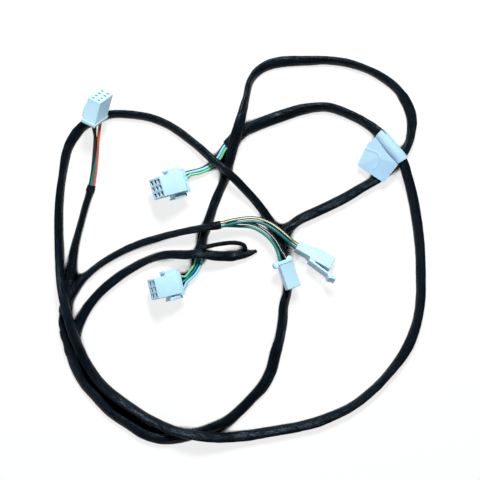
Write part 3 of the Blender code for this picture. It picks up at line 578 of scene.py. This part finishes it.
# each lead's cell in its housing, and its place beside and above its group's route, in lead radii
leadGroups = {
    "eight_way": {
        "radius": 0.0011, "from": "eight_way_end_tape", "to": "eight_way_plug",
        "route": [(-0.1048, 0.0560, 0.0046), (-0.1034, 0.0680, 0.0070), (-0.1026, 0.0785, 0.0096)],
        "leads": {
            "black": ((0, 0), (-1.12, -0.65)), "orange": ((1, 0), (1.12, -0.65)),
            "teal": ((0, 1), (0.0, 1.3)),
        },
    },
    "nine_way": {
        "radius": 0.00085, "from": "nine_way_end_tape", "to": "nine_way_plug",
        "route": [
            (-0.0160, 0.0655, 0.0026), (-0.0235, 0.0588, 0.0026), (-0.0303, 0.0562, 0.0030),
            (-0.0373, 0.0545, 0.0044),
        ],
        "leads": {
            "black": ((2, 0), (1.65, -1.05)), "light_blue": ((2, 1), (0.55, 1.05)),
            "dark_green": ((1, 0), (-0.65, -1.05)), "light_green": ((1, 1), (-1.75, 1.05)),
        },
    },
    "six_way": {
        "radius": 0.00085, "from": "six_way_end_tape", "to": "six_way_plug",
        "route": [(-0.0305, -0.0110, 0.0036), (-0.0345, -0.0170, 0.0038), (-0.0395, -0.0216, 0.0044)],
        "leads": {
            "light_green": ((2, 1), (2.6, 1.3)), "dark_green": ((2, 0), (2.6, -1.3)),
            "teal": ((1, 1), (0.0, 1.3)), "black": ((1, 0), (0.0, -1.3)),
            "light_blue": ((0, 1), (-2.6, 1.3)), "brown": ((0, 0), (-2.6, -1.3)),
        },
    },
    "two_way": {
        "radius": 0.0011, "from": "two_way_end_tape", "to": "two_way_plug",
        "route": [
            (-0.0020, 0.0182, 0.0090), (0.0090, 0.0172, 0.0094), (0.0185, 0.0120, 0.0108),
            (0.0250, 0.0050, 0.0120), (0.0282, -0.0008, 0.0124),
        ],
        "leads": {"black": ((0, 0), (-1.2, -1.2)), "teal": ((1, 0), (1.2, -1.2))},
    },
    "socket": {
        "radius": 0.0011, "from": "two_way_end_tape", "to": "two_way_socket",
        "route": [
            (-0.0020, 0.0205, 0.0104), (0.0100, 0.0215, 0.0100), (0.0200, 0.0185, 0.0098),
            (0.0285, 0.0128, 0.0104), (0.0345, 0.0076, 0.0092),
        ],
        "leads": {"black": ((0, 0), (-1.2, 1.2)), "teal": ((1, 0), (1.2, 1.2))},
    },
}
foldedLead = {
    "radius": 0.0012, "wide": 1.3, "tall": 0.95, "creases": (0.00012, 200.0), "lap": (0.00006, 0.004),
    "seed": 31,
}


def sideStep(ahead, side, up):
    right = ahead.cross(Vector((0, 0, 1))).normalized()
    return right * side + right.cross(ahead).normalized() * up


def makeLeads(prefix, endLines):
    facts = leadGroups[prefix]
    radius = facts["radius"]
    housing = housings[facts["to"]]
    turn = housingFrame(housing)
    rear = -housing["length"] / 2
    start, ahead = beyondEnd(endLines[facts["from"]], whole["gap"])
    guide = [start, start + ahead * leadLook["straight"], *vectors(facts["route"])]
    between = (b - a for a, b in zip(guide[1:], guide[3:]))
    directions = [ahead, ahead, *between, turn.to_3x3() @ Vector((0, 1, 0))]
    for colour, (cell, (side, up)) in facts["leads"].items():
        node = f"{prefix}_{colour}_lead"
        x, z = cellPlace(housing, cell)
        stops = (-leadLook["approach"], leadLook["straight"], leadLook["setback"] - whole["gap"])
        last = [turn @ Vector((x, rear + y, z)) for y in stops]
        first = [p + sideStep(d, side * radius, up * radius) for p, d in zip(guide, directions)]
        path = smoothRoute([*first, *last], leadLook["spacing"])
        before, _ = beyondEnd(path[::-1], leadLook["overlap"])
        longer = [before, *path]
        outlines = [(radius, radius, 0.0)] * len(longer)
        piece = makeTube(node.replace("_lead", "_wire"), longer, outlines, leadLook["sides"])
        piece.data.materials.append(materials[stripedLeads.get(node, colour)])
        settle(piece, "lead_" + colour, node)


def makeFoldedLead():
    path = smoothRoute(vectors(routes["foldedLead"]), leadLook["spacing"])
    radius = foldedLead["radius"]
    outlines = [(radius * foldedLead["wide"], radius * foldedLead["tall"], 0.0)] * len(path)
    skin = windSkin(foldedLead["creases"], foldedLead["lap"], foldedLead["seed"])
    piece = makeTube("folded_wire", path, outlines, leadLook["sides"], skin)
    piece.data.materials.append(materials["tape"])
    settle(piece, "tape_black", "folded_lead")


label = {
    "length": 0.0260, "radius": 0.0035, "paper": 0.00018, "gap": 0.00018, "sides": 40, "climb": 2,
    "lapAt": 0.30, "lapOver": 0.22, "wide": 1.10, "tall": 0.97, "smoothAngle": 40.0,
}


# the label is one sheet wound once round the sleeve, with its end lapping over its start
def makeLabel(line, middleAt):
    path = stretchOf(line, middleAt - label["length"] / 2, middleAt + label["length"] / 2)
    mesh = bmesh.new()
    inner, outer = [], []
    turns = label["sides"]
    for k, centre in enumerate(path):
        ahead = path[min(k + 1, len(path) - 1)] - path[max(k - 1, 0)]
        low, high = [], []
        for j in range(turns + 1):
            share = j / turns
            turn = math.tau * (label["lapAt"] + share * (1 + label["lapOver"]))
            rise = label["climb"] * label["paper"] * share * (1 + label["lapOver"])
            wall = label["radius"] + label["gap"] + rise
            for ring, r in ((low, wall), (high, wall + label["paper"])):
                side, up = r * label["wide"] * math.cos(turn), r * label["tall"] * math.sin(turn)
                ring.append(mesh.verts.new(centre + sideStep(ahead, side, up)))
        inner.append(low)
        outer.append(high)
    last = len(path) - 1
    for k in range(last):
        for j in range(turns):
            mesh.faces.new((outer[k][j], outer[k + 1][j], outer[k + 1][j + 1], outer[k][j + 1]))
            mesh.faces.new((inner[k][j], inner[k][j + 1], inner[k + 1][j + 1], inner[k + 1][j]))
        for j in (0, turns):
            mesh.faces.new((inner[k][j], inner[k + 1][j], outer[k + 1][j], outer[k][j]))
    for k in (0, last):
        for j in range(turns):
            mesh.faces.new((inner[k][j], inner[k][j + 1], outer[k][j + 1], outer[k][j]))
    bmesh.ops.recalc_face_normals(mesh, faces=mesh.faces)
    piece = newPiece("label_wrap", mesh)
    aloneActive(piece)
    bpy.ops.object.shade_smooth_by_angle(angle=math.radians(label["smoothAngle"]))
    piece.data.materials.append(materials["paper"])
    settle(piece, "paper_white", "printed_label")


flag = {
    "corners": [
        (0.0971, 0.0805, 0.0084), (0.0912, 0.0757, 0.0070), (0.0839, 0.0604, 0.0060),
        (0.1027, 0.0481, 0.0080), (0.1131, 0.0612, 0.0128),
    ],
    "middle": (0.0980, 0.0658, 0.0090),
    "thickness": 0.0003,
    "cuts": 22,
    "smoothAngle": 20.0,
    "curl": (0.0005, 60.0),
    "fold": [
        (0.0890, 0.0728), (0.0957, 0.0706), (0.0989, 0.0692), (0.0999, 0.0662), (0.0989, 0.0620),
        (0.0960, 0.0578),
    ],
    "foldRise": 0.00035,
    "foldWidth": 0.0006,
}


def distanceTo(spot, a, b):
    share = (spot - a).dot(b - a) / (b - a).length_squared
    return (spot - a.lerp(b, min(max(share, 0), 1))).length


def makeFlag():
    corners = vectors(flag["corners"])
    middle = vectors([flag["middle"]])[0]
    mesh = bmesh.new()
    hub = mesh.verts.new(middle)
    rim = [mesh.verts.new(p) for p in corners]
    for k in range(len(rim)):
        mesh.faces.new((hub, rim[k - 1], rim[k]))
    bmesh.ops.subdivide_edges(mesh, edges=mesh.edges, cuts=flag["cuts"], use_grid_fill=True)
    bmesh.ops.recalc_face_normals(mesh, faces=mesh.faces)
    fold = [Vector(p) for p in flag["fold"]]
    for vertex in mesh.verts:
        vertex.co.z += flag["curl"][0] * noise.noise(vertex.co * flag["curl"][1])
        spot = vertex.co.xy
        away = min(distanceTo(spot, a, b) for a, b in zip(fold, fold[1:]))
        vertex.co.z += flag["foldRise"] * math.exp(-((away / flag["foldWidth"]) ** 2))
    piece = newPiece("flag_sheet", mesh)
    wall = piece.modifiers.new("paper", "SOLIDIFY")
    wall.thickness = flag["thickness"]
    wall.offset = 0
    applyAll(piece)
    aloneActive(piece)
    bpy.ops.object.shade_smooth_by_angle(angle=math.radians(flag["smoothAngle"]))
    piece.data.materials.append(materials["paper"])
    settle(piece, "paper_white", "paper_flag")


# materials
# colours as they are seen in the photograph, in linear light, and the scales of the two mottles
finishes = {
    "sleeve": {
        "colour": (0.0010, 0.0020, 0.0032), "pale": (0.0040, 0.0085, 0.0135), "rough": (0.26, 0.44),
        "scales": (90.0, 1500.0), "bump": 1.0, "depth": 0.0005, "shine": 0.115, "tint": (0.62, 0.82, 1.0),
    },
    "tape": {
        "colour": (0.0014, 0.0022, 0.0032), "pale": (0.0045, 0.0080, 0.0120), "rough": (0.36, 0.54),
        "scales": (90.0, 1500.0), "bump": 1.0, "depth": 0.0004, "shine": 0.115, "tint": (0.66, 0.84, 1.0),
    },
    "nylon": {
        "colour": (0.44, 0.68, 0.82), "pale": (0.48, 0.72, 0.86), "rough": (0.36, 0.48),
        "scales": (160.0, 1400.0), "bump": 0.10,
    },
    "paper": {
        "colour": (0.31, 0.49, 0.66), "pale": (0.345, 0.535, 0.70), "rough": (0.55, 0.70),
        "scales": (80.0, 2200.0), "bump": 0.08,
    },
    "tin": {
        "colour": (0.62, 0.58, 0.50), "pale": (0.74, 0.70, 0.62), "rough": (0.28, 0.42),
        "scales": (400.0, 2600.0), "bump": 0.05, "metal": 1.0,
    },
    # painted shade for the inside faces of the housings' cells, and a lighter painted shade for the
    # eight-way plug's cells
    "paintedCellShade": {
        "colour": (0.010, 0.030, 0.034), "pale": (0.018, 0.045, 0.050), "rough": (0.6, 0.8),
        "scales": (200.0, 900.0), "bump": 0.0,
    },
    "paintedPaleCellShade": {
        "colour": (0.36, 0.66, 0.68), "pale": (0.44, 0.74, 0.76), "rough": (0.6, 0.8),
        "scales": (200.0, 900.0), "bump": 0.0,
    },
}
plainFinish = {"depth": 0.0002, "shine": 0.4}
woundLook = {
    "laps": {"sleeve": 3.0, "tape": 19.0}, "stretch": 3.5, "crease": 4.0, "lineFrom": 0.90, "line": 0.6,
}
leadFinish = {"lighter": (1.25, 0.004), "rough": (0.32, 0.45), "scales": (300.0, 1800.0), "bump": 0.05}
# each lead's colour, and the colour, place, half width and twist of its stripe in turns
leadColours = {
    "black": ((0.005, 0.006, 0.008), None),
    "orange": ((0.62, 0.085, 0.030), None),
    "teal": ((0.004, 0.17, 0.155), None),
    "light_green": ((0.16, 0.50, 0.24), None),
    "light_blue": ((0.22, 0.60, 0.88), None),
    "dark_green": ((0.004, 0.045, 0.040), None),
    "brown": ((0.030, 0.020, 0.016), None),
    "creamBlack": (
        (0.004, 0.005, 0.006), {"colour": (0.60, 0.60, 0.40), "at": 0.25, "half": 0.065},
    ),
    "lineBlack": (
        (0.004, 0.005, 0.006), {"colour": (0.50, 0.55, 0.50), "at": 0.25, "half": 0.025},
    ),
    "halfTeal": (
        (0.004, 0.17, 0.155), {"colour": (0.010, 0.009, 0.009), "at": 0.75, "half": 0.27, "twist": 1.3},
    ),
    "lineTeal": ((0.005, 0.17, 0.155), {"colour": (0.012, 0.08, 0.08), "at": 0.20, "half": 0.05}),
}
stripedLeads = {
    "socket_black_lead": "creamBlack", "two_way_black_lead": "lineBlack", "socket_teal_lead": "lineTeal",
    "eight_way_teal_lead": "halfTeal",
}


def addNode(tree, kind, place, **values):
    node = tree.nodes.new(kind)
    node.location = place
    for key, value in values.items():
        setattr(node, key, value)
    return node


# soft mottling over the whole surface: a mask and a height
def mottleGroup():
    tree = bpy.data.node_groups.new("softMottle", "ShaderNodeTree")
    for name, first in (("Coarse", 120.0), ("Fine", 900.0)):
        socket = tree.interface.new_socket(name, in_out="INPUT", socket_type="NodeSocketFloat")
        socket.default_value = first
    for name in ("Mask", "Height"):
        tree.interface.new_socket(name, in_out="OUTPUT", socket_type="NodeSocketFloat")
    given = addNode(tree, "NodeGroupInput", (-700, 0))
    result = addNode(tree, "NodeGroupOutput", (300, 0))
    place = addNode(tree, "ShaderNodeTexCoord", (-700, 250))
    coarse = addNode(tree, "ShaderNodeTexNoise", (-420, 150))
    fine = addNode(tree, "ShaderNodeTexNoise", (-420, -150))
    for node, name in ((coarse, "Coarse"), (fine, "Fine")):
        tree.links.new(place.outputs["Object"], node.inputs["Vector"])
        tree.links.new(given.outputs[name], node.inputs["Scale"])
    tree.links.new(coarse.outputs["Fac"], result.inputs["Mask"])
    tree.links.new(fine.outputs["Fac"], result.inputs["Height"])
    return tree


# lines and creases that follow a wound skin, from the tube's own map
def windingGroup():
    tree = bpy.data.node_groups.new("windingCreases", "ShaderNodeTree")
    stretch, crease = woundLook["stretch"], woundLook["crease"]
    for name, first in (("Laps", woundLook["laps"]["sleeve"]), ("Stretch", stretch), ("Crease", crease)):
        socket = tree.interface.new_socket(name, in_out="INPUT", socket_type="NodeSocketFloat")
        socket.default_value = first
    for name in ("Line", "Height"):
        tree.interface.new_socket(name, in_out="OUTPUT", socket_type="NodeSocketFloat")
    given = addNode(tree, "NodeGroupInput", (-1100, 0))
    result = addNode(tree, "NodeGroupOutput", (500, 0))
    around = addNode(tree, "ShaderNodeUVMap", (-1100, 300), uv_map="around")
    split = addNode(tree, "ShaderNodeSeparateXYZ", (-900, 300))
    tree.links.new(around.outputs["UV"], split.inputs["Vector"])
    turn = addNode(tree, "ShaderNodeMath", (-700, 100), operation="MULTIPLY")
    turn.inputs[1].default_value = math.tau
    tree.links.new(split.outputs["Y"], turn.inputs[0])
    sine = addNode(tree, "ShaderNodeMath", (-520, 160), operation="SINE")
    cosine = addNode(tree, "ShaderNodeMath", (-520, 20), operation="COSINE")
    run = addNode(tree, "ShaderNodeMath", (-520, 320), operation="MULTIPLY")
    tree.links.new(split.outputs["X"], run.inputs[0])
    tree.links.new(given.outputs["Stretch"], run.inputs[1])
    joined = addNode(tree, "ShaderNodeCombineXYZ", (-340, 200))
    for node, axis in ((run, "X"), (sine, "Y"), (cosine, "Z")):
        if node is not run:
            tree.links.new(turn.outputs[0], node.inputs[0])
        tree.links.new(node.outputs[0], joined.inputs[axis])
    crease = addNode(tree, "ShaderNodeTexNoise", (-150, 200))
    tree.links.new(joined.outputs["Vector"], crease.inputs["Vector"])
    tree.links.new(given.outputs["Crease"], crease.inputs["Scale"])
    laps = addNode(tree, "ShaderNodeMath", (-520, -150), operation="MULTIPLY_ADD")
    tree.links.new(split.outputs["X"], laps.inputs[0])
    tree.links.new(given.outputs["Laps"], laps.inputs[1])
    tree.links.new(split.outputs["Y"], laps.inputs[2])
    share = addNode(tree, "ShaderNodeMath", (-340, -150), operation="FRACT")
    tree.links.new(laps.outputs[0], share.inputs[0])
    line = addNode(tree, "ShaderNodeMapRange", (-150, -150))
    line.inputs["From Min"].default_value = woundLook["lineFrom"]
    tree.links.new(share.outputs[0], line.inputs["Value"])
    tree.links.new(line.outputs["Result"], result.inputs["Line"])
    tree.links.new(crease.outputs["Fac"], result.inputs["Height"])
    return tree


def plainMaterial(name, finish, mottle):
    material = bpy.data.materials.new(name)
    material.use_nodes = True
    tree = material.node_tree
    shader = tree.nodes["Principled BSDF"]
    group = addNode(tree, "ShaderNodeGroup", (-700, 0), node_tree=mottle)
    group.inputs["Coarse"].default_value, group.inputs["Fine"].default_value = finish["scales"]
    colour = addNode(tree, "ShaderNodeMix", (-400, 200), data_type="RGBA")
    colour.inputs[6].default_value = (*finish["colour"], 1)
    colour.inputs[7].default_value = (*finish["pale"], 1)
    tree.links.new(group.outputs["Mask"], colour.inputs[0])
    tree.links.new(colour.outputs[2], shader.inputs["Base Color"])
    rough = addNode(tree, "ShaderNodeMapRange", (-400, -50))
    rough.inputs["To Min"].default_value, rough.inputs["To Max"].default_value = finish["rough"]
    tree.links.new(group.outputs["Mask"], rough.inputs["Value"])
    tree.links.new(rough.outputs["Result"], shader.inputs["Roughness"])
    bump = addNode(tree, "ShaderNodeBump", (-250, -300))
    bump.inputs["Strength"].default_value = finish["bump"]
    bump.inputs["Distance"].default_value = finish.get("depth", plainFinish["depth"])
    tree.links.new(group.outputs["Height"], bump.inputs["Height"])
    tree.links.new(bump.outputs["Normal"], shader.inputs["Normal"])
    shader.inputs["Specular IOR Level"].default_value = finish.get("shine", plainFinish["shine"])
    shader.inputs["Metallic"].default_value = finish.get("metal", 0.0)
    if "tint" in finish:
        shader.inputs["Specular Tint"].default_value = (*finish["tint"], 1)
    return material


# black skin of sleeves and tape: mottled, creased along its length, with the edge of each lap
def woundMaterial(name, mottle, creases):
    material = plainMaterial(name, finishes[name], mottle)
    tree = material.node_tree
    bump = next(node for node in tree.nodes if node.type == "BUMP")
    group = addNode(tree, "ShaderNodeGroup", (-700, -400), node_tree=creases)
    group.inputs["Laps"].default_value = woundLook["laps"][name]
    total = addNode(tree, "ShaderNodeMath", (-450, -400), operation="MULTIPLY_ADD")
    total.inputs[1].default_value = woundLook["line"]
    tree.links.new(group.outputs["Line"], total.inputs[0])
    tree.links.new(group.outputs["Height"], total.inputs[2])
    tree.links.new(total.outputs[0], bump.inputs["Height"])
    return material


def leadMaterial(name, base, stripe, mottle):
    times, plus = leadFinish["lighter"]
    lighter = tuple(min(c * times + plus, 1) for c in base)
    material = plainMaterial(name, {**leadFinish, "colour": base, "pale": lighter}, mottle)
    if stripe:
        tree = material.node_tree
        shader = tree.nodes["Principled BSDF"]
        blend = next(node for node in tree.nodes if node.type == "MIX")
        around = addNode(tree, "ShaderNodeUVMap", (-900, 400), uv_map="around")
        split = addNode(tree, "ShaderNodeSeparateXYZ", (-700, 400))
        tree.links.new(around.outputs["UV"], split.inputs["Vector"])
        twist = addNode(tree, "ShaderNodeMath", (-600, 550), operation="MULTIPLY_ADD")
        twist.inputs[1].default_value = stripe.get("twist", 0.0)
        tree.links.new(split.outputs["X"], twist.inputs[0])
        tree.links.new(split.outputs["Y"], twist.inputs[2])
        turned = addNode(tree, "ShaderNodeMath", (-560, 480), operation="FRACT")
        tree.links.new(twist.outputs[0], turned.inputs[0])
        off = addNode(tree, "ShaderNodeMath", (-520, 400), operation="SUBTRACT")
        off.inputs[1].default_value = stripe["at"]
        tree.links.new(turned.outputs[0], off.inputs[0])
        size = addNode(tree, "ShaderNodeMath", (-340, 400), operation="ABSOLUTE")
        tree.links.new(off.outputs[0], size.inputs[0])
        inside = addNode(tree, "ShaderNodeMath", (-160, 400), operation="LESS_THAN")
        inside.inputs[1].default_value = stripe["half"]
        tree.links.new(size.outputs[0], inside.inputs[0])
        striped = addNode(tree, "ShaderNodeMix", (-160, 200), data_type="RGBA")
        striped.inputs[7].default_value = (*stripe["colour"], 1)
        tree.links.new(inside.outputs[0], striped.inputs[0])
        tree.links.new(blend.outputs[2], striped.inputs[6])
        tree.links.new(striped.outputs[2], shader.inputs["Base Color"])
    return material


def makeMaterials():
    mottle, creases = mottleGroup(), windingGroup()
    made = {}
    for name, finish in finishes.items():
        if name in woundLook["laps"]:
            made[name] = woundMaterial(name, mottle, creases)
        else:
            made[name] = plainMaterial(name, finish, mottle)
    for name, (base, stripe) in leadColours.items():
        made[name] = leadMaterial(name + "Lead", base, stripe, mottle)
    return made


# floor, light and camera
light = {
    "key": {
        "place": (0.08, 0.86, 1.08), "size": 0.30, "power": 29.0, "colour": (0.95, 0.985, 1.0),
    },
    "fill": {
        "place": (-0.80, -0.55, 0.90), "size": 1.0, "power": 5.0, "colour": (1.0, 1.0, 1.0),
    },
    "sky": 0.52,
    "floorSize": 4.0,
    "floorDrop": 0.00003,
    "floorGlow": 0.80,
    "floorColour": 0.86,
    "floorRough": 0.9,
    # painted contact shade on the floor: how far the occlusion reaches, and the range over which the floor
    # fades to black
    "paintedContactShade": {"reach": 0.012, "from": 0.49, "to": 0.52, "samples": 32},
}


def makeStage():
    bpy.ops.object.select_all(action="DESELECT")
    bpy.ops.mesh.primitive_plane_add(size=light["floorSize"], location=(0, 0, -light["floorDrop"]))
    floor = bpy.context.object
    floor.name = "floor"
    material = bpy.data.materials.new("floor")
    material.use_nodes = True
    tree = material.node_tree
    shader = tree.nodes["Principled BSDF"]
    shader.inputs["Roughness"].default_value = light["floorRough"]
    shader.inputs["Specular IOR Level"].default_value = 0.0
    glow = addNode(tree, "ShaderNodeEmission", (0, -300))
    path = addNode(tree, "ShaderNodeLightPath", (-400, 300))
    either = addNode(tree, "ShaderNodeMath", (-200, 300), operation="MAXIMUM")
    share = addNode(tree, "ShaderNodeMath", (0, 300), operation="MULTIPLY")
    share.inputs[1].default_value = light["floorGlow"]
    mixed = addNode(tree, "ShaderNodeMixShader", (300, 0))
    tree.links.new(path.outputs["Is Camera Ray"], either.inputs[0])
    tree.links.new(path.outputs["Is Glossy Ray"], either.inputs[1])
    tree.links.new(either.outputs[0], share.inputs[0])
    tree.links.new(share.outputs[0], mixed.inputs[0])
    tree.links.new(shader.outputs[0], mixed.inputs[1])
    tree.links.new(glow.outputs[0], mixed.inputs[2])
    # painted contact shade: where nearby pieces occlude the floor, in narrow gaps and close under them, its
    # colour goes to black and its glow goes out
    paintedContactShade = light["paintedContactShade"]
    near = addNode(tree, "ShaderNodeAmbientOcclusion", (-600, -300), samples=paintedContactShade["samples"])
    near.inputs["Distance"].default_value = paintedContactShade["reach"]
    clear = addNode(tree, "ShaderNodeMapRange", (-400, -300))
    clear.inputs["From Min"].default_value = paintedContactShade["from"]
    clear.inputs["From Max"].default_value = paintedContactShade["to"]
    tree.links.new(near.outputs["AO"], clear.inputs["Value"])
    tree.links.new(clear.outputs["Result"], glow.inputs["Strength"])
    shadedFloorColour = addNode(tree, "ShaderNodeMix", (-200, -50), data_type="RGBA")
    shadedFloorColour.inputs[6].default_value = (0, 0, 0, 1)
    shadedFloorColour.inputs[7].default_value = (*[light["floorColour"]] * 3, 1)
    tree.links.new(clear.outputs["Result"], shadedFloorColour.inputs[0])
    tree.links.new(shadedFloorColour.outputs[2], shader.inputs["Base Color"])
    tree.links.new(mixed.outputs[0], tree.nodes["Material Output"].inputs["Surface"])
    floor.data.materials.append(material)

    world = bpy.data.worlds.new("studio")
    bpy.context.scene.world = world
    world.use_nodes = True
    tree = world.node_tree
    sky = tree.nodes["Background"]
    sky.inputs["Strength"].default_value = light["sky"]
    plain = addNode(tree, "ShaderNodeBackground", (0, -200))
    path = addNode(tree, "ShaderNodeLightPath", (-200, 300))
    mixed = addNode(tree, "ShaderNodeMixShader", (300, 0))
    tree.links.new(path.outputs["Is Camera Ray"], mixed.inputs[0])
    tree.links.new(sky.outputs[0], mixed.inputs[1])
    tree.links.new(plain.outputs[0], mixed.inputs[2])
    tree.links.new(mixed.outputs[0], tree.nodes["World Output"].inputs["Surface"])

    for name in ("key", "fill"):
        facts = light[name]
        lamp = bpy.data.lights.new(name, "AREA")
        lamp.size = facts["size"]
        lamp.energy = facts["power"]
        lamp.color = facts["colour"]
        holder = bpy.data.objects.new(name, lamp)
        bpy.context.scene.collection.objects.link(holder)
        holder.location = facts["place"]
        holder.rotation_euler = Vector(facts["place"]).to_track_quat("Z", "Y").to_euler()


# the camera's height, the width that it sees, the point that it looks down on and how far it sees
view = {"height": 1.2, "across": 0.3456, "aim": (0.0001, 0.0072), "farthest": 10}


def makeCamera():
    data = bpy.data.cameras.new("camera")
    data.sensor_fit = "HORIZONTAL"
    data.angle = 2 * math.atan(view["across"] / 2 / view["height"])
    data.clip_end = view["farthest"]
    holder = bpy.data.objects.new("camera", data)
    bpy.context.scene.collection.objects.link(holder)
    holder.location = (*view["aim"], view["height"])
    bpy.context.scene.camera = holder


print("camera, floor and lights")
makeCamera()
makeStage()
bpy.context.scene.view_settings.view_transform = "Standard"
materials = makeMaterials()

print("sleeves")
loop = smoothRoute(vectors([*routes["outerLoop"], *routes["upperRight"]]), whole["ringSpacing"])
joint = lengthOf(loop) - upperRightLength
lines = {
    "outer_loop_sleeve": stretchOf(loop, 0, joint - whole["gap"] / 2),
    "upper_right_sleeve": stretchOf(loop, joint + whole["gap"] / 2, lengthOf(loop)),
}
for name, facts in sleeves.items():
    if name not in lines:
        lines[name] = smoothRoute(vectors(routes[facts["widths"]]), whole["ringSpacing"])
for number, name in enumerate(sleeves):
    makeSleeve(name, lines[name], number)

print("tape")
endLines = {}
for seed, (name, facts) in enumerate(endTapes.items(), tapeLook["firstSeed"]):
    branch = facts["on"]
    endLines[name] = makeEndTape(name, lines[branch], sleeves[branch]["radius"], seed)
for number, node in enumerate(("centre_junction", "left_junction", "loose_branch_junction")):
    makeJunction(node, number)

print("housings")
for node in housings:
    makeHousing(node)

print("leads and terminals")
for prefix in leadGroups:
    makeLeads(prefix, endLines)
makeFoldedLead()
for node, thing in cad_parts.items():
    if node.endswith("_terminal"):
        thing.data.materials.clear()
        thing.data.materials.append(materials["tin"])

print("label and flag")
makeLabel(loop, joint)
makeFlag()
